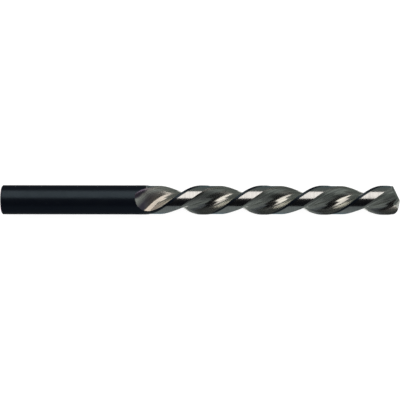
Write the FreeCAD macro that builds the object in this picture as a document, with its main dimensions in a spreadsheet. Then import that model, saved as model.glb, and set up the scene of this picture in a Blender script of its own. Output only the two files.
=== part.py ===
import FreeCAD, Part
import math
import os
import Sketcher
from FreeCAD import Vector, Rotation, Placement

# Twist drill with two wide parabolic flutes, left-hand helix, ground from the solid.
# The X axis is the drill's axis: the shank's rear face lies at X = 0 and the point is at +X.
# Angles round the axis are counted from the top (+Z) towards the back (+Y).

doc = FreeCAD.newDocument("twist_drill")

# Driving dimensions, in millimetres and degrees
sheet = doc.addObject("Spreadsheet::Sheet", "sizes")
dimensions = [
    ("overall_length", 125.0, "rear face of the shank to the point"),
    ("drill_diameter", 9.2, "across the margins"),
    ("shank_diameter", 9.18, "across the plain shank"),
    ("shank_chamfer", 0.3, "break of the shank's rear edge"),
    ("flute_length", 83.1, "point to the far end of the flutes' run-out"),
    ("helix_lead", 38.0, "advance of the flutes in one turn"),
    ("web_thickness", 3.96, "core left between the flutes"),
    ("point_turn", -38.8, "angle of the first margin's corner at the point"),
    ("margin_width", 0.95, "narrow strip left at full diameter"),
    ("clearance_depth", 0.16, "depth ground off the land behind the margin"),
    ("clearance_lag", 2.1, "far end of the flutes to where that grinding begins"),
    ("clearance_ramp", 2.5, "length over which that depth is reached"),
    ("wheel_radius", 13.5, "radius of the wheel that cuts a flute"),
    ("wheel_tilt", 44.4, "wheel's plane from the drill's axis"),
    ("wheel_rim", 4.4, "rounding across the wheel's rim"),
    ("wheel_corner", 2.63, "rounding of the rim towards the cutting face"),
    ("wheel_face", 49.0, "slope of the wheel's side on the cutting face"),
    ("wheel_taper", 30.0, "slope of the wheel's side towards the heel"),
    ("wheel_waist", 3.0, "rim's middle to the hollow that rolls the heel"),
    ("wheel_roll", 4.55, "radius of that hollow"),
    ("point_angle", 130.0, "included angle of the two lips"),
    ("lip_relief", 11.0, "fall of the flank behind the lip"),
    ("heel_relief", 24.0, "steeper fall of the flank's rear facet"),
    ("gash_turn", 38.0, "split's wall from the lip, seen from the point"),
    ("gash_slope", 45.0, "split's floor from the drill's axis"),
    ("chisel_width", 0.4, "chisel edge left between the two splits"),
]
for row, (alias, value, meaning) in enumerate(dimensions, start=1):
    sheet.set("A%d" % row, alias)
    sheet.set("B%d" % row, str(value))
    sheet.set("C%d" % row, meaning)
    sheet.setAlias("B%d" % row, alias)
doc.recompute()

length = sheet.overall_length
radius = sheet.drill_diameter / 2
core = sheet.web_thickness / 2
clearance_radius = radius - sheet.clearance_depth
turn_rate = 2 * math.pi / sheet.helix_lead
flute_end = length - sheet.flute_length

# Fineness of the ground surfaces: steps along the flutes and of the wheel's travel, points across
# a flute and across a land, sections of the run-out, and halvings when a crossing is looked for
section_step = 1.2
wheel_step = 0.3
floor_points = 16
land_points = 7
runout_sections = 9
halvings = 14
# The body is left this much too long until the point is ground
grinding_allowance = 1.0


def aroundAxis(station, angle, distance):
    """Point at a distance from the axis, at an angle from the top towards the back."""
    return Vector(station, distance * math.sin(angle), distance * math.cos(angle))


def evenly(first, last, count):
    """Evenly spaced values from the first to the last."""
    return [first + (last - first) * index / (count - 1) for index in range(count)]


def originPlane(body, role):
    """The body's own base plane of that role."""
    return [item for item in body.Origin.OriginFeatures if item.Role == role][0]


def turnedBody(name, outline):
    """Body turned about the X axis from a closed outline.

    Each corner gives its places along and out from the axis, then the rule that sets each of them.
    """
    body = doc.addObject("PartDesign::Body", name)
    sketch = body.newObject("Sketcher::SketchObject", name + "_profile")
    sketch.AttachmentSupport = [(originPlane(body, "XY_Plane"), "")]
    sketch.MapMode = "FlatFace"
    count = len(outline)
    for index in range(count):
        here = Vector(*outline[index][:2], 0)
        there = Vector(*outline[(index + 1) % count][:2], 0)
        sketch.addGeometry(Part.LineSegment(here, there), False)
    for index in range(count):
        sketch.addConstraint(Sketcher.Constraint("Coincident", index, 2, (index + 1) % count, 1))
    for index, (along, out, along_rule, out_rule) in enumerate(outline):
        for kind, value, rule in (("DistanceX", along, along_rule), ("DistanceY", out, out_rule)):
            number = sketch.addConstraint(Sketcher.Constraint(kind, -1, 1, index, 1, value))
            if rule:
                sketch.setExpression("Constraints[%d]" % number, rule)
    doc.recompute()
    turned = body.newObject("PartDesign::Revolution", name + "_turned")
    turned.Profile = sketch
    turned.ReferenceAxis = (sketch, ["H_Axis"])
    turned.Angle = 360.0
    body.Tip = turned
    doc.recompute()
    return body


# Shank: a plain bar with a chamfered rear edge, up to where the ground body begins
shank_radius = sheet.shank_diameter / 2
shank = turnedBody("shank", [
    (0, 0, None, None),
    (0, shank_radius - sheet.shank_chamfer, None, "sizes.shank_diameter / 2 - sizes.shank_chamfer"),
    (sheet.shank_chamfer, shank_radius, "sizes.shank_chamfer", "sizes.shank_diameter / 2"),
    (flute_end, shank_radius, "sizes.overall_length - sizes.flute_length", "sizes.shank_diameter / 2"),
    (flute_end, 0, "sizes.overall_length - sizes.flute_length", None),
])

# A flute is what a tilted wheel leaves as the bar advances and turns beneath it; where the wheel
# stops, its own round imprint is the run-out.
wheel_tilt = math.radians(sheet.wheel_tilt)
wheel_taper = math.radians(sheet.wheel_taper)
wheel_face = math.radians(sheet.wheel_face)
tilt_side = math.sin(wheel_tilt)
tilt_level = math.cos(wheel_tilt)
wheel_centre = core + sheet.wheel_radius
# The wheel meets the bar only within this distance along it, and within this turn round it
wheel_span = 1.9 * radius
widest_turn = math.radians(126)
ray_steps = 28


def wheelDrop(across):
    """How much smaller the wheel is at a distance across from the middle of its rim."""
    if across < 0:
        # rounded corner, then the straight side that leaves the cutting face
        corner = sheet.wheel_corner
        width = corner * math.sin(wheel_face)
        if -across < width:
            return corner - math.sqrt(corner * corner - across * across)
        return corner * (1 - math.cos(wheel_face)) + (-across - width) * math.tan(wheel_face)
    # rounded rim, then a taper, then the hollow that rolls the heel
    rim = sheet.wheel_rim
    width = min(rim * math.sin(wheel_taper), sheet.wheel_waist)
    slope = width / math.sqrt(rim * rim - width * width)
    if across < width:
        return rim - math.sqrt(rim * rim - across * across)
    drop = rim - math.sqrt(rim * rim - width * width) + (across - width) * slope
    if across > sheet.wheel_waist:
        drop -= (across - sheet.wheel_waist) ** 2 / (2 * sheet.wheel_roll)
    return drop


def wheelReach(ahead, angle, furthest):
    """Least distance from the axis at which the wheel meets a ray.

    The ray stands ahead of the wheel along the axis, at an angle from the wheel's middle that
    turns with the helix. Nothing beyond the furthest distance is looked for.
    """
    turned = turn_rate * ahead + angle
    if abs(turned) > widest_turn:
        return furthest
    side = math.sin(turned)
    level = math.cos(turned)

    def gap(distance):
        across = -ahead * tilt_side + distance * side * tilt_level
        along = ahead * tilt_level + distance * side * tilt_side
        if across > sheet.wheel_waist + 2 * sheet.wheel_roll:
            # beyond the wheel's far side
            return radius
        rim = sheet.wheel_radius - wheelDrop(across)
        return math.hypot(along, wheel_centre - distance * level) - rim

    near = 0.98 * core
    step = (furthest - near) / ray_steps
    for count in range(ray_steps):
        if gap(near + step) < 0:
            far = near + step
            for halving in range(halvings):
                middle = (near + far) / 2
                if gap(middle) < 0:
                    far = middle
                else:
                    near = middle
            return far
        near += step
    return furthest


def flooredAt(ahead, angle, furthest):
    """Flute's floor: the deepest reach of the wheel on its way to the point."""
    deepest = furthest
    steps = int((2 * wheel_span) / wheel_step)
    for count in range(steps + 1):
        seen = wheel_span - count * wheel_step
        if seen > ahead:
            continue
        deepest = min(deepest, wheelReach(seen, angle, deepest))
    return deepest


def crossing(ahead, inside, outside, level):
    """Angle at which the floor crosses a level, between one inside the flute and one outside."""
    for halving in range(halvings):
        middle = (inside + outside) / 2
        if flooredAt(ahead, middle, 1.1 * level) < level:
            inside = middle
        else:
            outside = middle
    return (inside + outside) / 2


def deepestPlace(ahead):
    """Floor's least distance from the axis in one section, with its angle in degrees."""
    return min((flooredAt(ahead, math.radians(turn), 1.5 * radius), turn) for turn in range(-30, 90, 3))


def flooredSection(ahead, heel_level):
    """Points of the flute's floor in one section as (angle, distance), evenly spaced along it.

    The floor runs from the bar's full radius on the cutting side to the heel's level.
    """
    middle = math.radians(deepestPlace(ahead)[1])
    first = crossing(ahead, middle, middle - math.radians(86), radius)
    last = crossing(ahead, middle, middle + math.radians(109), heel_level)
    fine_steps = 2 * floor_points
    fine = evenly(first, last, fine_steps + 1)
    reach = [flooredAt(ahead, angle, 1.1 * radius) for angle in fine]
    walked = [0.0]
    for count in range(fine_steps):
        sideways = (fine[count + 1] - fine[count]) * (reach[count + 1] + reach[count]) / 2
        walked.append(walked[-1] + math.hypot(reach[count + 1] - reach[count], sideways))
    section = []
    for count in range(floor_points):
        wanted = walked[-1] * count / (floor_points - 1)
        place = max(index for index in range(fine_steps) if walked[index] <= wanted)
        part = (wanted - walked[place]) / (walked[place + 1] - walked[place])
        angle = fine[place] + part * (fine[place + 1] - fine[place])
        section.append((angle, flooredAt(ahead, angle, 1.1 * radius)))
    section[0] = (first, radius)
    section[-1] = (last, heel_level)
    return section


def runoutStart():
    """Place ahead of the wheel, a negative one, where its imprint leaves the bar."""
    outside = -wheel_span
    inside = 0.0
    for halving in range(halvings):
        middle = (outside + inside) / 2
        if deepestPlace(middle)[0] < 0.995 * radius:
            inside = middle
        else:
            outside = middle
    return inside


def clearedRadius(station):
    """Radius of the land behind its margin, which the clearance reaches along a short ramp."""
    ground = (station - flute_end - sheet.clearance_lag) / sheet.clearance_ramp
    return radius - sheet.clearance_depth * max(0.01, min(1.0, ground))


full_section = flooredSection(wheel_span, clearance_radius)
cutting_edge = full_section[0][0]
margin_turn = math.pi - sheet.margin_width / radius
runout_start = runoutStart()
wheel_station = flute_end - runout_start


def curve(points):
    """Smooth edge through points."""
    spline = Part.BSplineCurve()
    spline.interpolate(points)
    return spline.toShape()


def bodyWire(station, section):
    """The drill's whole section at a station, with its two flutes, lands and margins."""
    turn = math.radians(sheet.point_turn) + turn_rate * (station - length)
    level = section[-1][1]
    heel = section[-1][0] - cutting_edge
    edges = []
    for start in (0.0, math.pi):
        def spot(angle, distance):
            return aroundAxis(station, turn + start + angle, distance)
        edges.append(curve([spot(angle - cutting_edge, distance) for angle, distance in section]))
        edges.append(curve([spot(angle, level) for angle in evenly(heel, margin_turn, land_points)]))
        edges.append(Part.makeLine(spot(margin_turn, level), spot(margin_turn, radius)))
        corner = math.pi + section[0][0] - cutting_edge
        edges.append(curve([spot(angle, radius) for angle in evenly(margin_turn, corner, land_points)]))
    return Part.Wire(edges)


# Sections stand closer where the run-out begins. Beyond the settled place they no longer change.
body_wires = []
settled = 0.9 * radius
for count in range(runout_sections):
    ahead = runout_start + (settled - runout_start) * (count / runout_sections) ** 1.5
    station = wheel_station + ahead
    body_wires.append(bodyWire(station, flooredSection(ahead, clearedRadius(station))))
straight_start = wheel_station + settled
straight_end = length + grinding_allowance
straight_sections = 1 + math.ceil((straight_end - straight_start) / section_step)
for station in evenly(straight_start, straight_end, straight_sections):
    body_wires.append(bodyWire(station, full_section))
fluted_body = doc.addObject("Part::Feature", "fluted_body")
fluted_body.Shape = Part.makeLoft(body_wires, True, False)

# Point: each lip has a flank of two flat facets, the rear one steeper, and a split that thins the
# web down to a short chisel edge
lip_slope = 1 / math.tan(math.radians(sheet.point_angle) / 2)
corner_turn = math.radians(sheet.point_turn) - turn_rate * radius * lip_slope
lip_turn = corner_turn - math.asin(core / radius)
box_size = 3 * sheet.drill_diameter


def grindingBox(name, place, along, across, back, sideways):
    """Box that grinds a flat at a place, reaching back and sideways from it by shares of its size."""
    box = doc.addObject("Part::Box", name)
    for side in ("Length", "Width", "Height"):
        box.setExpression(side, "sizes.drill_diameter * 3")
    corner = place - along * (back * box_size) - across * (sideways * box_size)
    box.Placement = Placement(corner, Rotation(along, across, along.cross(across), "XYZ"))
    return box


point = Vector(length, 0, 0)
axis = Vector(1, 0, 0)
gash_turn = math.radians(sheet.gash_turn)
gash_slope = math.radians(sheet.gash_slope)
tip_cutters = []
for start, half_turn in (("first", 0.0), ("second", math.pi)):
    outward = aroundAxis(0, lip_turn + half_turn, 1)
    forward = aroundAxis(0, lip_turn + half_turn + math.pi / 2, 1)
    for facet, relief in (("lip", sheet.lip_relief), ("heel", sheet.heel_relief)):
        normal = axis + outward * lip_slope - forward * math.tan(math.radians(relief))
        across = normal.cross(outward).normalize()
        along = across.cross(normal).normalize()
        tip_cutters.append(grindingBox("%s_facet_%s" % (facet, start), point, along, across, 0.5, 0.5))
    wall = outward * math.cos(gash_turn) + forward * math.sin(gash_turn)
    away = forward * math.cos(gash_turn) - outward * math.sin(gash_turn)
    floor = wall * math.sin(gash_slope) - axis * math.cos(gash_slope)
    corner = point + (away - wall) * (sheet.chisel_width / 2)
    tip_cutters.append(grindingBox("split_" + start, corner, -floor, away, 1.0, 0.0))
doc.recompute()

blank = doc.addObject("Part::Fuse", "drill_blank")
blank.Base = shank
blank.Tool = fluted_body
drill = blank
for cutter in tip_cutters:
    ground = doc.addObject("Part::Cut", "ground_" + cutter.Name)
    ground.Base = drill
    ground.Tool = cutter
    drill = ground
drill.Label = "twist_drill"
doc.recompute()

# Only a sound single solid is written
for item in doc.Objects:
    if "Invalid" in item.State or "Error" in item.State:
        raise RuntimeError("%s failed" % item.Name)
shape = drill.Shape
if shape.isNull() or not shape.isValid() or len(shape.Solids) != 1:
    raise RuntimeError("the drill is not one sound solid")
os.makedirs("parts", exist_ok=True)
shape.exportStep("parts/twist_drill.step")
print("volume", round(shape.Volume, 2), "faces", len(shape.Faces))
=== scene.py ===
import math
import bpy
import numpy as np
from mathutils import Matrix, Vector


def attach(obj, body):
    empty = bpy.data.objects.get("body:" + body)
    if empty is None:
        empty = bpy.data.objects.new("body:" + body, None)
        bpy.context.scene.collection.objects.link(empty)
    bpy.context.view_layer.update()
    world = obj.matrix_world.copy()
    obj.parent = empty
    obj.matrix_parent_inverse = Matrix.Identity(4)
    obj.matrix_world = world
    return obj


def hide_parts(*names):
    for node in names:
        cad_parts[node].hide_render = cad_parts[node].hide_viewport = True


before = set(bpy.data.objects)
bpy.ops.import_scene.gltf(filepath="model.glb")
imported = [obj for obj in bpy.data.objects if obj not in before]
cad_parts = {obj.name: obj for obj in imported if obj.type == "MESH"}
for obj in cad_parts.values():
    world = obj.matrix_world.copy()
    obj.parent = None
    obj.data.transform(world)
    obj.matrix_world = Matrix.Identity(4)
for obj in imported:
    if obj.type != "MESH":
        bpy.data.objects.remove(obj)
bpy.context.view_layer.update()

print("packed drill loaded")

mm = 0.001

# The drill lies along X with its point at +X. Angles round it are counted from the top (+Z) towards +Y.
drillSizes = {
    "length": 125.0,
    "radius": 4.6,
    "shankRadius": 4.59,
    "shankChamfer": 0.3,
    "fluteEnd": 41.9,  # far end of the flutes' run-out, from the shank's rear face
    "lead": 38.0,
    "core": 1.98,
    "pointTurn": -38.8,
    "marginWidth": 0.95,
    "clearance": 0.16,
    "clearanceLag": 2.1,
    "clearanceRamp": 2.5,
    "clearanceLeast": 0.01,  # share of the clearance that the land has before the ramp
    "pointAngle": 130.0,
    "lipRelief": 11.0,
    "heelRelief": 24.0,
    "gashTurn": 38.0,
    "gashSlope": 45.0,
    "chiselWidth": 0.4,
    "shankRows": 12,
    "shankRowGaps": (0.8, 0.3),  # before the first of these rows, and between the last and the flute
    "runoutRows": 72,
    "runoutSpan": 12.0,
    "runoutCrowding": 1.6,  # above 1 the rows lie closer towards the run-out's end
    "rowStep": 0.27,
    "beyondPoint": 1.0,  # the rows go on past the point, and the grinding blocks cut them off
    "floorColumns": 56,
    "landColumns": 30,
    "marginColumns": 18,
    "walkSteps": 400,
    "sharpAngle": 14.0,
    "roundFacing": 0.97,  # cosine between a normal and the outward direction that still counts as round
}

wheelSizes = {
    "radius": 13.5,
    "tilt": 44.4,
    "rim": 4.4,
    "corner": 1.2,  # dressed sharper than the solid's 2.63, which the leaning flat makes up for
    "flat": 0.90,
    "lean": 10.0,
    "sink": 0.1,  # how far the sharper rim reaches beyond the solid's
    "edge": 1.4,  # arc on the heel's side, which runs into a slope of the shoulder's angle
    "shoulder": 21.0,
    "face": 49.0,
    "taper": 30.0,
    "waist": 3.0,
    "roll": 4.55,
    "travelRange": (-1.9, 0.9),  # in radii of the bar
    "travelStep": 0.05,
    "turnRange": (-110, 150),
    "turnStep": 0.35,
    "facingLimit": 126,  # a cut further than this angle from the wheel's middle is left out
    "searchRange": (0.92, 1.3),  # from this share of the core to this share of the bar
    "searchSteps": 58,
    "halvings": 12,
    "deepestRange": (-30, 90),  # angles between which a row's deepest spot is looked for
    "runoutRise": 0.995,  # the run-out starts where the deepest spot is at this share of the bar
}

turnRate = 2 * math.pi / drillSizes["lead"]
zoneOf = {"bar": 0, "flute": 1, "facet": 2, "split": 3}


def wheelDrop(across):
    # Fall of the wheel's rim at a distance v across it. Towards the cutting face it is v tan(lean) along
    # a flat, plus c cos(lean) - sqrt(c² - w²) for the corner c, with w = v - flat + c sin(lean), and then
    # a straight slope. Towards the heel it is e - sqrt(e² - v²) for the edge e and then the shoulder's
    # slope, or else the straight taper that the solid's rim ends in, where that is more. Beyond the waist
    # it is the taper less (v - waist)² / (2 roll). The sink is taken off all but the taper.
    size = wheelSizes
    face, taper = math.radians(size["face"]), math.radians(size["taper"])
    lean, shoulder = math.radians(size["lean"]), math.radians(size["shoulder"])
    corner, flat, edge, waist = size["corner"], size["flat"], size["edge"], size["waist"]
    leaning = corner * math.sin(lean)
    bend = np.clip(-across - flat + leaning, leaning, corner * math.sin(face))
    faceSide = np.clip(-across, 0, flat) * math.tan(lean)
    faceSide = faceSide + corner * math.cos(lean) - np.sqrt(corner ** 2 - bend ** 2)
    straight = -across - flat - corner * (math.sin(face) - math.sin(lean))
    faceSide = faceSide + np.clip(straight, 0, None) * math.tan(face)
    edgeWidth = edge * math.sin(shoulder)
    heelSide = np.where(
        across < edgeWidth,
        edge - np.sqrt(np.clip(edge ** 2 - across ** 2, 0, None)),
        edge * (1 - math.cos(shoulder)) + (across - edgeWidth) * math.tan(shoulder))
    rimWidth = min(size["rim"] * math.sin(taper), waist)
    rimFoot = math.sqrt(size["rim"] ** 2 - rimWidth ** 2)
    beyondWaist = across > waist
    taperSide = size["rim"] - rimFoot + (across - rimWidth) * rimWidth / rimFoot
    taperSide = taperSide - np.where(beyondWaist, (across - waist) ** 2 / (2 * size["roll"]), 0)
    heelSide = np.where(beyondWaist, taperSide, np.maximum(heelSide - size["sink"], taperSide))
    return np.where(across < 0, faceSide - size["sink"], heelSide)


def sweptFloor():
    # Floor of a flute as distance from the axis over (distance ahead of the wheel a, angle t from the
    # wheel's middle). A ray meets the wheel where hypot(along, centre - r cos d) is under the wheel's
    # radius less its drop, with d = turnRate a + t. The floor is the least such r over all wheel places
    # up to a, because the flute keeps what the wheel cut before. Also given for each spot are the places
    # across and along the wheel's rim that cut it: v = r sin d cos tilt - a sin tilt, and along likewise.
    size = wheelSizes
    bar, core = drillSizes["radius"], drillSizes["core"]
    tilt = math.radians(size["tilt"])
    rearmost, foremost = size["travelRange"]
    ahead = np.arange(rearmost * bar, foremost * bar + size["travelStep"], size["travelStep"])
    turn = np.radians(np.arange(*size["turnRange"], size["turnStep"]))
    facing = turnRate * ahead[:, None] + turn[None, :]
    side, level = np.sin(facing), np.cos(facing)
    begin = ahead[:, None]

    def rimPlaces(distance):
        across = -begin * math.sin(tilt) + distance * side * math.cos(tilt)
        along = begin * math.cos(tilt) + distance * side * math.sin(tilt)
        return across, along

    def inside(distance):
        across, along = rimPlaces(distance)
        reach = np.hypot(along, core + size["radius"] - distance * level)
        met = reach < size["radius"] - wheelDrop(across)
        return met & (across < size["waist"] + 2 * size["roll"])

    innermost, outermost = size["searchRange"][0] * core, size["searchRange"][1] * bar
    near, far = np.full(facing.shape, innermost), np.full(facing.shape, outermost)
    found = np.zeros(facing.shape, bool)
    for distance in np.linspace(innermost, outermost, size["searchSteps"])[1:]:
        hit = inside(distance) & ~found
        far = np.where(hit, distance, far)
        near = np.where(found | hit, near, distance)
        found |= hit
    for halving in range(size["halvings"]):
        middle = (near + far) / 2
        hit = inside(middle) & found
        far = np.where(hit, middle, far)
        near = np.where(hit, near, middle)
    floor = np.where(found & (np.abs(facing) < math.radians(size["facingLimit"])), far, outermost)
    lowest = np.minimum.accumulate(floor, axis=0)
    place = np.where(floor <= lowest, np.arange(len(ahead))[:, None], 0)
    place = np.maximum.accumulate(place, axis=0)
    rim = np.stack([np.take_along_axis(places, place, 0) for places in rimPlaces(floor)])
    return ahead, turn, lowest, rim


def gridPlace(grid, wanted):
    # Step of an even grid that each wanted value lies in, and the share of that step before it.
    place = np.clip((wanted - grid[0]) / (grid[1] - grid[0]), 0, len(grid) - 1.001)
    step = place.astype(int)
    return step, place - step


def sample(rows, turn, wanted):
    # Value of each row at its wanted angles, straight between the row's own angles.
    left, part = gridPlace(turn, wanted)
    index = np.arange(len(rows))[:, None]
    return rows[index, left] * (1 - part) + rows[index, left + 1] * part


def rimAngles(rows, turn, cutLevel, heelLevel):
    # Angles where each row rises through a level: the cutting side's first one, the heel side's last.
    step = turn[1] - turn[0]
    index = np.arange(len(rows))
    first = np.argmax(rows < cutLevel, axis=1)
    before, after = rows[index, first - 1], rows[index, first]
    cutting = turn[first] - step * (cutLevel - after) / (before - after)
    under = rows < heelLevel[:, None]
    last = rows.shape[1] - 1 - np.argmax(under[:, ::-1], axis=1)
    before, after = rows[index, last], rows[index, last + 1]
    heel = turn[last] + step * (heelLevel - before) / (after - before)
    return cutting, heel


def between(first, last, count):
    # Even columns from each row's first angle to its last: first + (last - first) share.
    return first[:, None] + (last - first)[:, None] * np.linspace(0, 1, count)[None, :]


def rowStations(size):
    # Places of the rows along X: few on the shank, crowded where the flutes run out, even on the body.
    fluteEnd = size["fluteEnd"]
    rearGap, fluteGap = size["shankRowGaps"]
    plainRows = np.linspace(rearGap, fluteEnd - fluteGap, size["shankRows"])
    shankRows = np.concatenate([[0.0, size["shankChamfer"]], plainRows])
    crowded = np.linspace(0, 1, size["runoutRows"]) ** size["runoutCrowding"]
    runoutRows = fluteEnd + size["runoutSpan"] * crowded
    bodyStart = fluteEnd + size["runoutSpan"] + size["rowStep"]
    bodyRows = np.arange(bodyStart, size["length"] + size["beyondPoint"], size["rowStep"])
    return np.concatenate([shankRows, runoutRows, bodyRows]), len(shankRows)


def drillSurface():
    # Rows along X, columns round the bar: for each half the flute's floor, the relieved land at its
    # lower radius, the step up to the margin and the margin at full radius. Every row is turned by
    # turnRate X, so a column is a helix, and the creases fall on columns.
    size = drillSizes
    bar, fluteEnd = size["radius"], size["fluteEnd"]
    ahead, turn, floor, rim = sweptFloor()
    lowTurn, highTurn = (math.radians(angle) for angle in wheelSizes["deepestRange"])
    deepest = floor[:, (turn > lowTurn) & (turn < highTurn)].min(axis=1)
    runoutStart = np.interp(-wheelSizes["runoutRise"] * bar, -deepest, ahead)
    wheelStation = fluteEnd - runoutStart

    station, shankCount = rowStations(size)
    seen = np.clip(station - wheelStation, runoutStart, ahead[-1])
    lower, part = gridPlace(ahead, seen)
    part = part[:, None]
    rows = floor[lower] * (1 - part) + floor[lower + 1] * part
    rimRows = rim[:, lower]
    ground = (station - fluteEnd - size["clearanceLag"]) / size["clearanceRamp"]
    level = bar - size["clearance"] * np.clip(ground, size["clearanceLeast"], 1)
    cutting, heel = rimAngles(rows, turn, bar, level)
    fullCutting, fullHeel = cutting[-1], heel[-1]

    # the floor's columns are spread by the length that they walk across the full section
    steps = size["walkSteps"]
    fine = np.linspace(fullCutting, fullHeel, steps)
    fineFloor = sample(rows[-1:], turn, fine[None, :])[0]
    walked = np.cumsum(np.hypot(np.diff(fineFloor), np.diff(fine) * fineFloor[1:]))
    walked = np.concatenate([[0], walked])
    even = np.linspace(0, walked[-1], size["floorColumns"])
    share = np.interp(even, walked, np.linspace(0, 1, steps))
    floorAngle = cutting[:, None] + share[None, :] * (heel - cutting)[:, None]
    floorReach = np.minimum(sample(rows, turn, floorAngle), level[:, None])
    floorReach[:, 0] = bar
    floorReach[:, -1] = level
    halfColumns = size["floorColumns"] + size["landColumns"] + size["marginColumns"]
    rimPlace = np.zeros((2, len(station), halfColumns))
    for which in (0, 1):
        rimPlace[which, :, :size["floorColumns"]] = sample(rimRows[which], turn, floorAngle)
    rimPlace = np.concatenate([rimPlace, rimPlace], axis=2).reshape(2, -1).T

    marginAngle = np.full(len(station), math.pi - size["marginWidth"] / bar)
    landAngle = between(heel - fullCutting, marginAngle, size["landColumns"] + 1)[:, 1:]
    rimAngle = between(marginAngle, math.pi + cutting - fullCutting, size["marginColumns"] + 1)[:, :-1]
    angle = np.concatenate([floorAngle - fullCutting, landAngle, rimAngle], axis=1)
    reach = np.concatenate([
        floorReach,
        np.repeat(level[:, None], landAngle.shape[1], axis=1),
        np.full(rimAngle.shape, bar)], axis=1)
    angle = np.concatenate([angle, angle + math.pi], axis=1)
    reach = np.concatenate([reach, reach], axis=1)

    # on the shank the columns run straight back from the first row of the run-out
    angle[:shankCount] = angle[shankCount]
    reach[:shankCount] = size["shankRadius"]
    reach[0] = size["shankRadius"] - size["shankChamfer"]
    turned = math.radians(size["pointTurn"]) + turnRate * (np.maximum(station, fluteEnd) - size["length"])
    angle = angle + turned[:, None]

    rowCount, columnCount = reach.shape
    points = np.stack([
        np.repeat(station[:, None], columnCount, axis=1),
        reach * np.sin(angle),
        reach * np.cos(angle)], axis=2).reshape(-1, 3)
    row, column = np.meshgrid(np.arange(rowCount - 1), np.arange(columnCount), indexing="ij")
    following = (column + 1) % columnCount
    quads = np.stack([
        row * columnCount + column,
        (row + 1) * columnCount + column,
        (row + 1) * columnCount + following,
        row * columnCount + following], axis=2).reshape(-1, 4)
    inFlute = ((column % halfColumns) < size["floorColumns"] - 1) & (row >= shankCount)
    zones = np.where(inFlute, zoneOf["flute"], zoneOf["bar"]).reshape(-1)
    return points, quads, zones, rimPlace, rowCount, columnCount


def readWhole(items, name):
    values = np.empty(len(items), int)
    items.foreach_get(name, values)
    return values


def readRows(items, name):
    values = np.empty(len(items) * 3)
    items.foreach_get(name, values)
    return values.reshape(-1, 3)


def addMesh(name, points, faces, zones=None, flatPlace=None):
    # With zones, the mesh also gets the flat map of the places on the wheel's rim.
    mesh = bpy.data.meshes.new(name)
    mesh.from_pydata(points.tolist(), [], faces)
    if zones is not None:
        mesh.polygons.foreach_set("material_index", zones)
        corner = readWhole(mesh.loops, "vertex_index")
        spread = np.zeros((len(points), 2)) if flatPlace is None else flatPlace
        mesh.uv_layers.new(name="wheelPlace").data.foreach_set("uv", spread[corner].ravel())
    mesh.update()
    piece = bpy.data.objects.new(name, mesh)
    bpy.context.scene.collection.objects.link(piece)
    return piece


def roundDirection(angle):
    return np.array([0.0, math.sin(angle), math.cos(angle)])


def grindingBlock(name, corner, along, across, back, sideways, size, zone):
    # Box of eight corners: corner + a along + b across + c up, with a from -back to size - back,
    # b from -sideways to size - sideways and c from 0 to size.
    up = np.cross(along, across)
    start = corner - along * back * size - across * sideways * size
    grid = np.array([[a, b, c] for a in (0, 1) for b in (0, 1) for c in (0, 1)], float) * size
    points = start + grid @ np.stack([along, across, up])
    faces = [[0, 1, 3, 2], [4, 6, 7, 5], [0, 4, 5, 1], [2, 3, 7, 6], [0, 2, 6, 4], [1, 5, 7, 3]]
    return addMesh(name, points * mm, faces, [zone] * len(faces))


def pointBlocks():
    # Each lip's flank is two planes through the point, with normal X + outward / tan(half angle)
    # - forward tan(relief); the split is a wall and a floor that meet beside the chisel edge.
    size = drillSizes
    slope = 1 / math.tan(math.radians(size["pointAngle"]) / 2)
    cornerTurn = math.radians(size["pointTurn"]) - turnRate * size["radius"] * slope
    lipTurn = cornerTurn - math.asin(size["core"] / size["radius"])
    tip = np.array([size["length"], 0, 0])
    axis = np.array([1.0, 0, 0])
    gashTurn, gashSlope = math.radians(size["gashTurn"]), math.radians(size["gashSlope"])
    span = 6 * size["radius"]
    blocks = []
    for name, half in (("first", 0.0), ("second", math.pi)):
        outward = roundDirection(lipTurn + half)
        forward = roundDirection(lipTurn + half + math.pi / 2)
        for facet, relief in (("lip", size["lipRelief"]), ("heel", size["heelRelief"])):
            normal = axis + outward * slope - forward * math.tan(math.radians(relief))
            across = np.cross(normal, outward)
            across = across / np.linalg.norm(across)
            along = np.cross(across, normal)
            along = along / np.linalg.norm(along)
            blocks.append(grindingBlock(name + facet, tip, along, across, 0.5, 0.5, span, zoneOf["facet"]))
        wall = outward * math.cos(gashTurn) + forward * math.sin(gashTurn)
        aside = forward * math.cos(gashTurn) - outward * math.sin(gashTurn)
        floor = wall * math.sin(gashSlope) - axis * math.cos(gashSlope)
        corner = tip + (aside - wall) * size["chiselWidth"] / 2
        blocks.append(grindingBlock(name + "split", corner, -floor, aside, 1.0, 0.0, span, zoneOf["split"]))
    return blocks


def outwardOf(places):
    # Unit direction straight out from the axis, (0, y, z) / distance.
    flat = places * (0, 1, 1)
    return flat / np.maximum(np.linalg.norm(flat, axis=1, keepdims=True), 1e-9)


def roundNormals(mesh):
    # Corners of the bar's own faces get the exact outward direction of the round bar, so uneven columns
    # leave no bands in its reflections.
    outward = outwardOf(readRows(mesh.vertices, "co"))
    middle = outwardOf(readRows(mesh.polygons, "center"))
    facing = (readRows(mesh.polygons, "normal") * middle).sum(axis=1)
    onBar = readWhole(mesh.polygons, "material_index") == zoneOf["bar"]
    onBar = np.repeat(onBar & (facing > drillSizes["roundFacing"]), readWhole(mesh.polygons, "loop_total"))
    normals = readRows(mesh.corner_normals, "vector")
    normals[onBar] = outward[readWhole(mesh.loops, "vertex_index")[onBar]]
    mesh.normals_split_custom_set(normals.tolist())


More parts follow.
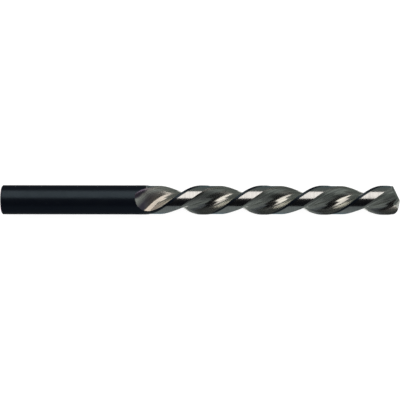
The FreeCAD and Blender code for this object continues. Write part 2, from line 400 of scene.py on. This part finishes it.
def makeDrill(materials):
    points, quads, zones, rimPlace, rowCount, columnCount = drillSurface()
    centres = np.array([[0.0, 0, 0], [points[-1][0], 0, 0]])
    rearCentre, frontCentre = len(points), len(points) + 1
    ring = np.arange(columnCount)
    following = (ring + 1) % columnCount
    rear = np.stack([ring, following, np.full(columnCount, rearCentre)], axis=1)
    lastRow = (rowCount - 1) * columnCount
    front = np.stack([lastRow + following, lastRow + ring, np.full(columnCount, frontCentre)], axis=1)
    faces = quads.tolist() + rear.tolist() + front.tolist()
    zones = np.concatenate([zones, np.full(2 * columnCount, zoneOf["bar"])])
    rimPlace = np.concatenate([rimPlace, np.zeros((2, 2))])
    drill = addMesh("twistDrill", np.concatenate([points, centres]) * mm, faces, zones, rimPlace)
    blocks = pointBlocks()
    for piece in (drill, *blocks):
        for material in materials:
            piece.data.materials.append(material)
    for block in blocks:
        ground = drill.modifiers.new(block.name, "BOOLEAN")
        ground.operation = "DIFFERENCE"
        ground.solver = "EXACT"
        ground.object = block
    view = bpy.context.evaluated_depsgraph_get()
    shaped = bpy.data.meshes.new_from_object(drill.evaluated_get(view))
    drill.modifiers.clear()
    drill.data = shaped
    for block in blocks:
        bpy.data.objects.remove(block)
    shaped.polygons.foreach_set("use_smooth", [True] * len(shaped.polygons))
    shaped.set_sharp_from_angle(angle=math.radians(drillSizes["sharpAngle"]))
    roundNormals(shaped)
    print("drill has", len(shaped.polygons), "faces")
    return drill


def addNode(tree, kind, values=None, **settings):
    made = tree.nodes.new(kind)
    for name, value in settings.items():
        setattr(made, name, value)
    for place, value in (values or {}).items():
        if isinstance(value, bpy.types.NodeSocket):
            tree.links.new(value, made.inputs[place])
        else:
            made.inputs[place].default_value = value
    return made


def newMaterial(name):
    material = bpy.data.materials.new(name)
    material.use_nodes = True
    return material, material.node_tree.nodes["Principled BSDF"]


def combined(tree, operation, *values):
    return addNode(tree, "ShaderNodeMath", dict(enumerate(values)), operation=operation).outputs[0]


def surfacePlaces(tree):
    # Place on the drill, and the same as X, Y and Z.
    place = addNode(tree, "ShaderNodeTexCoord").outputs["Object"]
    return place, addNode(tree, "ShaderNodeSeparateXYZ", {0: place}).outputs


def marks(tree, vector, scales, detail=3.0, roughness=0.6):
    # Noise stretched to a different fineness along each axis, in marks for each unit of the vector.
    stretched = addNode(tree, "ShaderNodeMapping", {"Vector": vector, "Scale": scales}).outputs[0]
    noise = addNode(tree, "ShaderNodeTexNoise", {
        "Vector": stretched, "Scale": 1.0, "Detail": detail, "Roughness": roughness})
    return noise.outputs["Fac"]


def rangeOf(tree, value, fromLow, fromHigh, toLow=0, toHigh=1):
    # Zero to one, or toLow to toHigh, as the value goes from fromLow to fromHigh, and level beyond them.
    values = {"Value": value, "From Min": fromLow, "From Max": fromHigh, "To Min": toLow, "To Max": toHigh}
    return addNode(tree, "ShaderNodeMapRange", values, clamp=True).outputs["Result"]


def blendColour(tree, share, first, second):
    node = addNode(tree, "ShaderNodeMix", {"Factor": share}, data_type="RGBA")
    for place, colour in ((6, first), (7, second)):
        if isinstance(colour, bpy.types.NodeSocket):
            tree.links.new(colour, node.inputs[place])
        else:
            node.inputs[place].default_value = (*colour, 1)
    return node.outputs[2]


def blendValue(tree, share, first, second):
    node = addNode(tree, "ShaderNodeMix", {"Factor": share, 2: first, 3: second}, data_type="FLOAT")
    return node.outputs[0]


def bumped(tree, shader, height, depth, strength):
    # The marks as relief, with their depth in millimetres.
    bump = addNode(tree, "ShaderNodeBump", {"Height": height, "Distance": depth * mm, "Strength": strength})
    tree.links.new(bump.outputs[0], shader.inputs["Normal"])


noiseSpan = (0.3, 0.7)  # low and high values that a noise mostly lies between

barFinish = {
    "oxide": (0.0028, 0.0034, 0.0076),
    "oxideWorn": (0.009, 0.010, 0.014),
    "oxideSheen": (0.63, 0.86, 1.0),
    "oxideRoughness": (0.28, 0.36),
    "oxideIndex": 1.47,
    "steel": (0.62, 0.63, 0.615),
    "steelDull": (0.50, 0.51, 0.50),
    "steelRoughness": (0.14, 0.24),
    "oxideEdge": 4.51,  # the oxide stays where the bar is larger than this radius
    "oxideWander": 0.05,  # how far the oxide's edge strays
    "oxideBlend": 0.012,
    "shankBlend": 1.0,
    "ringMarks": (5200, 90, 90),
    "ringContrast": (0.35, 0.7),
    "cloudMarks": (260, 260, 260),
    "speckMarks": (1500, 1500, 1500),
    "speckContrast": (0.62, 0.8),
    "speckWear": 0.8,
    "reliefDepth": 0.004,
    "reliefStrength": 0.35,
}


def barMaterial():
    # Black oxide where the bar keeps its full diameter, on the shank and the margins, and bright
    # ground steel where the clearance went below it. Fine marks run round the bar.
    material, shader = newMaterial("barSteel")
    tree = material.node_tree
    finish = barFinish
    place, parts = surfacePlaces(tree)
    flat = addNode(tree, "ShaderNodeCombineXYZ", {"Y": parts["Y"], "Z": parts["Z"]}).outputs[0]
    distance = addNode(tree, "ShaderNodeVectorMath", {0: flat}, operation="LENGTH").outputs["Value"]
    rings = marks(tree, place, finish["ringMarks"], 2.0)
    cloud = marks(tree, place, finish["cloudMarks"], 4.0)
    speck = marks(tree, place, finish["speckMarks"], 2.0)
    edge = combined(tree, "MULTIPLY_ADD", cloud, finish["oxideWander"] * mm, distance)
    limit = (finish["oxideEdge"] + finish["oxideWander"] / 2) * mm
    blend = finish["oxideBlend"] * mm
    relieved = rangeOf(tree, edge, limit + blend, limit - blend)
    fluteEnd = drillSizes["fluteEnd"]
    beyondShank = rangeOf(tree, parts["X"], (fluteEnd - finish["shankBlend"]) * mm, fluteEnd * mm)
    steelShare = combined(tree, "MULTIPLY", relieved, beyondShank)
    ringShare = rangeOf(tree, rings, *finish["ringContrast"])
    steel = blendColour(tree, ringShare, finish["steel"], finish["steelDull"])
    worn = rangeOf(tree, speck, *finish["speckContrast"], 0, finish["speckWear"])
    oxide = blendColour(tree, worn, finish["oxide"], finish["oxideWorn"])
    tree.links.new(blendColour(tree, steelShare, oxide, steel), shader.inputs["Base Color"])
    tree.links.new(steelShare, shader.inputs["Metallic"])
    oxideGloss = rangeOf(tree, cloud, *noiseSpan, *finish["oxideRoughness"])
    steelGloss = rangeOf(tree, rings, *noiseSpan, *finish["steelRoughness"])
    tree.links.new(blendValue(tree, steelShare, oxideGloss, steelGloss), shader.inputs["Roughness"])
    shader.inputs["IOR"].default_value = finish["oxideIndex"]
    shader.inputs["Specular Tint"].default_value = (*finish["oxideSheen"], 1)
    bumped(tree, shader, rings, finish["reliefDepth"], finish["reliefStrength"])
    return material


# Pairs named End lie along the drill from its rear face, and pairs named Side across the wheel's rim from
# its middle towards the heel. Each goes from where the colour ends to where it is full.
fluteFinish = {
    "steel": (0.715, 0.73, 0.66),
    "steelDull": (0.37, 0.36, 0.34),
    "streakMarks": (1.7, 0.1, 0.06),
    "streakRoughness": 0.55,
    "streakContrast": (0.38, 0.66),
    "broadMarks": (0.9, 0.15, 0.16),
    "cloudMarks": (420, 420, 420),
    "stainContrast": (0.45, 0.75),
    "stainShare": 0.5,
    "bronze": (0.50, 0.445, 0.375),
    "bronzeEnd": (56.0, 47.0),
    "bronzeShare": 0.85,
    "bronzeSide": (1.9, 0.7),
    # dark purple temper colour at the run-out, which beside the crease is painted shade
    "temperAndShade": (0.11, 0.095, 0.13),
    "temperAndShadeEnd": (49.0, 44.5),
    "temperAndShadeLowSide": (4.2, 2.4),
    "temperAndShadeCreaseSide": (-0.1, 0.4),
    "temperAndShadeHighSide": (4.6, 5.2),
    "temperAndShadeWander": 1.2,
    "roughness": (0.17, 0.3),
    "bareness": (0.98, 1.0),  # share that mirrors like bare metal, the rest is a dull film
    "runoutBareness": 0.8,
    "reliefDepth": 0.02,
    "reliefStrength": 0.11,
}


def fluteMaterial():
    # Flute ground by a coarse wheel: warm steel streaked along the wheel's path, browner at the run-out.
    material, shader = newMaterial("fluteSteel")
    tree = material.node_tree
    finish = fluteFinish
    place, parts = surfacePlaces(tree)
    along = combined(tree, "MULTIPLY", parts["X"], 1 / mm)
    rim = addNode(tree, "ShaderNodeUVMap", uv_map="wheelPlace").outputs[0]
    rimParts = addNode(tree, "ShaderNodeSeparateXYZ", {0: rim}).outputs
    wheelPath = {"X": rimParts["X"], "Y": rimParts["Y"], "Z": along}
    ground = addNode(tree, "ShaderNodeCombineXYZ", wheelPath).outputs[0]
    streaks = marks(tree, ground, finish["streakMarks"], 3.0, finish["streakRoughness"])
    broad = marks(tree, ground, finish["broadMarks"], 3.0)
    cloud = marks(tree, place, finish["cloudMarks"], 4.0)
    streakShare = rangeOf(tree, streaks, *finish["streakContrast"])
    streaked = blendColour(tree, streakShare, finish["steel"], finish["steelDull"])
    outer, full = finish["bronzeEnd"]
    bronzeShare = rangeOf(tree, parts["X"], outer * mm, full * mm, 0, finish["bronzeShare"])
    tempered = rangeOf(tree, rimParts["X"], *finish["bronzeSide"])
    temperShare = combined(tree, "MULTIPLY", bronzeShare, tempered)
    warmed = blendColour(tree, temperShare, streaked, finish["bronze"])

    # dark purple temper colour at the run-out's outer edge, and beside the crease the same dark colour as
    # painted shade, the dark reflection of that hollow painted into the colour
    outer, full = finish["temperAndShadeEnd"]
    temperAndShadeReach = rangeOf(tree, parts["X"], outer * mm, full * mm)
    rimCloud = combined(tree, "MULTIPLY_ADD", cloud, finish["temperAndShadeWander"], rimParts["X"])
    lowSide = rangeOf(tree, rimCloud, *finish["temperAndShadeLowSide"])
    creaseSide = rangeOf(tree, rimParts["X"], *finish["temperAndShadeCreaseSide"])
    highSide = rangeOf(tree, rimCloud, *finish["temperAndShadeHighSide"])
    either = combined(tree, "MAXIMUM", combined(tree, "MULTIPLY", lowSide, creaseSide), highSide)
    # painted shade beside the crease, and temper colour at the outer edge
    temperAndShadeShare = combined(tree, "MULTIPLY", either, temperAndShadeReach)
    stained = rangeOf(tree, cloud, *finish["stainContrast"], 0, finish["stainShare"])
    dulled = blendColour(tree, stained, warmed, finish["steelDull"])
    temperedAndShaded = blendColour(tree, temperAndShadeShare, dulled, finish["temperAndShade"])
    tree.links.new(temperedAndShaded, shader.inputs["Base Color"])

    low, high = noiseSpan
    bare = rangeOf(tree, cloud, high, low, *finish["bareness"])
    bare = blendValue(tree, bronzeShare, bare, finish["runoutBareness"])
    tree.links.new(bare, shader.inputs["Metallic"])
    tree.links.new(rangeOf(tree, broad, low, high, *finish["roughness"]), shader.inputs["Roughness"])
    bumped(tree, shader, streaks, finish["reliefDepth"], finish["reliefStrength"])
    return material


pointFinish = {
    "facet": (0.52, 0.54, 0.51),
    "facetDull": (0.42, 0.44, 0.42),
    "split": (0.70, 0.70, 0.67),
    "roughness": (0.2, 0.3),
    "marks": (3800, 500, 3800),
    "markContrast": (0.35, 0.7),
    "reliefDepth": 0.004,
    "reliefStrength": 0.3,
}


def pointMaterial(name, colour, dull):
    # Flat ground by a fine wheel, with straight marks across it.
    material, shader = newMaterial(name)
    tree = material.node_tree
    finish = pointFinish
    place = addNode(tree, "ShaderNodeTexCoord").outputs["Object"]
    marksAcross = marks(tree, place, finish["marks"], 2.0)
    markShare = rangeOf(tree, marksAcross, *finish["markContrast"])
    tree.links.new(blendColour(tree, markShare, colour, dull), shader.inputs["Base Color"])
    shader.inputs["Metallic"].default_value = 1.0
    gloss = rangeOf(tree, marksAcross, *noiseSpan, *finish["roughness"])
    tree.links.new(gloss, shader.inputs["Roughness"])
    bumped(tree, shader, marksAcross, finish["reliefDepth"], finish["reliefStrength"])
    return material


# the materials stand in the order of zoneOf
drill = makeDrill([
    barMaterial(),
    fluteMaterial(),
    pointMaterial("facetSteel", pointFinish["facet"], pointFinish["facetDull"]),
    pointMaterial("splitSteel", pointFinish["split"], pointFinish["facet"])])
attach(drill, "root")
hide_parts("twist_drill")
print("drill made")

stageSizes = {
    "floorHeight": -4.6,
    "floorReach": 3.0,
    "floorPaper": (0.35, 0.35, 0.35),
    "floorRoughness": 0.9,
    "floorGlow": 0.84,  # brings the lit paper up to white where the camera or a reflection sees it
    "worldLight": 0.7,
    "worldExtra": 0.3,  # added where the camera or a reflection sees the world
    "softboxDistance": 0.6,
    "softboxSize": (0.53, 0.66),
    "softboxTurn": 44.5,
    "softboxSlant": -11.0,
    "softboxShift": -0.058,
    "softboxPower": 1.6,
    "softboxColour": (1.0, 0.94, 0.9),
}

cameraSettings = {
    "place": (0.0675, 0.0, 0.392),
    "pixelsPerMetre": 3178.0,
    "pictureWidth": 400,
    "sensorWidth": 36.0,
    "shift": (-0.0425, 0.0),
    "roll": 0.08,
}


def seenShare(tree):
    # One for the camera, reflections and refractions, and nought for all other light.
    path = addNode(tree, "ShaderNodeLightPath").outputs
    seen = combined(tree, "MAXIMUM", path["Is Camera Ray"], path["Is Glossy Ray"])
    return combined(tree, "MAXIMUM", seen, path["Is Transmission Ray"])


def makeFloor():
    reach = stageSizes["floorReach"]
    height = stageSizes["floorHeight"] * mm
    corners = ((-reach, -reach), (reach, -reach), (reach, reach), (-reach, reach))
    points = np.array([[x, y, height] for x, y in corners])
    floor = addMesh("paperFloor", points, [[0, 1, 2, 3]])
    material, shader = newMaterial("whitePaper")
    tree = material.node_tree
    shader.inputs["Base Color"].default_value = (*stageSizes["floorPaper"], 1)
    shader.inputs["Roughness"].default_value = stageSizes["floorRoughness"]
    shader.inputs["Specular IOR Level"].default_value = 0.0
    shader.inputs["Emission Color"].default_value = (1, 1, 1, 1)
    glow = combined(tree, "MULTIPLY", seenShare(tree), stageSizes["floorGlow"])
    tree.links.new(glow, shader.inputs["Emission Strength"])
    floor.data.materials.append(material)


def makeWorld():
    world = bpy.data.worlds.new("studio")
    bpy.context.scene.world = world
    world.use_nodes = True
    tree = world.node_tree
    background = tree.nodes["Background"]
    background.inputs["Color"].default_value = (1, 1, 1, 1)
    strength = combined(
        tree, "MULTIPLY_ADD", seenShare(tree), stageSizes["worldExtra"], stageSizes["worldLight"])
    tree.links.new(strength, background.inputs["Strength"])


def reflectionCard(name, points, faces, shade):
    card = addMesh(name, np.array(points, float), faces)
    material, shader = newMaterial(name + "Cloth")
    shader.inputs["Base Color"].default_value = (0, 0, 0, 1)
    shader.inputs["Specular IOR Level"].default_value = 0.0
    shader.inputs["Emission Color"].default_value = (*shade, 1)
    shader.inputs["Emission Strength"].default_value = 1.0
    card.data.materials.append(material)
    card.visible_camera = False
    card.visible_diffuse = False
    card.visible_transmission = False
    card.visible_shadow = False


cardShades = {
    "tent": (0.006, 0.006, 0.0075),
    "front": (0.195, 0.215, 0.215),
    "frontTip": (0.1, 0.11, 0.115),
    "back": (0.115, 0.13, 0.125),
    "frontShank": (0.085, 0.095, 0.11),
    "backShank": (0.07, 0.08, 0.085),
    "rearEnd": (0.05, 0.055, 0.055),
    "tipEnd": (0.2, 0.225, 0.225),
    "tipEndFront": (0.1, 0.115, 0.115),
    "under": (0.13, 0.15, 0.135),
    "tipSlip": (1.0, 1.0, 0.96),
}

cardSizes = {
    "tentReach": 0.9,
    "tentHeight": 0.8,
    "tentLift": 0.002,
    "cardLift": 0.001,
    "drillSide": 0.0042,  # strips beside the drill begin here, and those past its ends are twice as wide
    "drillEnds": (0.001, 0.1225),
    "fluteStart": 0.044,
    "frontDepth": -0.35,
    "frontTop": 0.27,
    "frontCuts": (0.026, 0.15),  # where the front panel changes its shade
    "backDepth": 0.55,
    "backTop": 0.145,
    "rearPlace": -0.4,
    "rearTop": 0.5,
    "tipPlace": 0.43,
    "tipDepths": (-0.45, -0.05, 0.45),
    "tipTop": 0.44,
    "slipEnds": (0.1235, 0.1262),
    "slipDepth": 0.012,
    "slipTop": 0.006,
}


def makeCards():
    # A dark tent over the drill, grey panels round it and grey strips on the floor, as a photographer
    # sets dark cloth and grey card about polished steel. Only reflections show them.
    size = cardSizes
    reach, low = size["tentReach"], stageSizes["floorHeight"] * mm
    heights = (low + size["tentLift"], size["tentHeight"])
    corners = [[x, y, z] for z in heights for y in (-reach, reach) for x in (-reach, reach)]
    sides = [[4, 6, 7, 5], [0, 4, 5, 1], [2, 3, 7, 6], [0, 2, 6, 4], [1, 5, 7, 3]]
    reflectionCard("darkTent", corners, sides, cardShades["tent"])

    ground = low + size["cardLift"]
    near, flutes = size["drillSide"], size["fluteStart"]
    rear, front = size["drillEnds"]
    strips = (
        ("back", flutes, reach, near, reach),
        ("front", flutes, reach, -reach, -near),
        ("backShank", -reach, flutes, near, reach),
        ("frontShank", -reach, flutes, -reach, -near),
        ("under", front, reach, -near, near),
        ("under", -reach, rear, -near, near))
    for shade, left, right, bottom, top in strips:
        strip = [[left, bottom, ground], [right, bottom, ground], [right, top, ground], [left, top, ground]]
        reflectionCard(shade + "Strip", strip, [[0, 1, 2, 3]], cardShades[shade])

    frontDepth, frontTop, backDepth = size["frontDepth"], size["frontTop"], size["backDepth"]
    shankCut, tipCut = size["frontCuts"]
    rearPlace, tipPlace, slipDepth = size["rearPlace"], size["tipPlace"], size["slipDepth"]
    tipFront, tipMiddle, tipBack = size["tipDepths"]
    slipLeft, slipRight = size["slipEnds"]
    panels = (
        ("front", (shankCut, frontDepth), (tipCut, frontDepth), frontTop),
        ("frontTip", (tipCut, frontDepth), (reach, frontDepth), frontTop),
        ("frontShank", (-reach, frontDepth), (shankCut, frontDepth), frontTop),
        ("back", (-reach, backDepth), (reach, backDepth), size["backTop"]),
        ("rearEnd", (rearPlace, -reach), (rearPlace, reach), size["rearTop"]),
        ("tipEnd", (tipPlace, tipMiddle), (tipPlace, tipBack), size["tipTop"]),
        ("tipEndFront", (tipPlace, tipFront), (tipPlace, tipMiddle), size["tipTop"]),
        ("tipSlip", (slipLeft, slipDepth), (slipRight, slipDepth), size["slipTop"]))
    for shade, first, last, top in panels:
        panel = [[*first, ground], [*last, ground], [*last, top], [*first, top]]
        reflectionCard(shade + "Panel", panel, [[0, 1, 2, 3]], cardShades[shade])


def makeLights():
    # Softbox above the drill on its +Y side, turned so that its face looks at the drill's axis.
    size = stageSizes
    lamp = bpy.data.lights.new("softbox", "AREA")
    lamp.shape = "RECTANGLE"
    lamp.size, lamp.size_y = size["softboxSize"]
    lamp.energy = size["softboxPower"]
    lamp.color = size["softboxColour"]
    softbox = bpy.data.objects.new("softbox", lamp)
    turn, slant = math.radians(size["softboxTurn"]), math.radians(size["softboxSlant"])
    aim = Vector((cameraSettings["place"][0] + size["softboxShift"], 0, 0))
    softbox.location = aim + Vector((0, math.sin(turn), math.cos(turn))) * size["softboxDistance"]
    softbox.rotation_euler = (Matrix.Rotation(-turn, 3, "X") @ Matrix.Rotation(slant, 3, "Z")).to_euler()
    bpy.context.scene.collection.objects.link(softbox)


def makeCamera():
    # The lens gives the photograph's pixels per metre at the drill's axis.
    settings = cameraSettings
    view = bpy.data.cameras.new("camera")
    view.sensor_width = settings["sensorWidth"]
    pixelsPerMetre = settings["pixelsPerMetre"]
    view.lens = settings["sensorWidth"] * pixelsPerMetre * settings["place"][2] / settings["pictureWidth"]
    view.shift_x, view.shift_y = settings["shift"]
    camera = bpy.data.objects.new("camera", view)
    camera.location = settings["place"]
    camera.rotation_euler = (0, 0, math.radians(settings["roll"]))
    bpy.context.scene.collection.objects.link(camera)
    bpy.context.scene.camera = camera


makeFloor()
makeWorld()
makeCards()
makeLights()
makeCamera()
bpy.context.scene.view_settings.view_transform = "Standard"
print("stage, light and camera made")
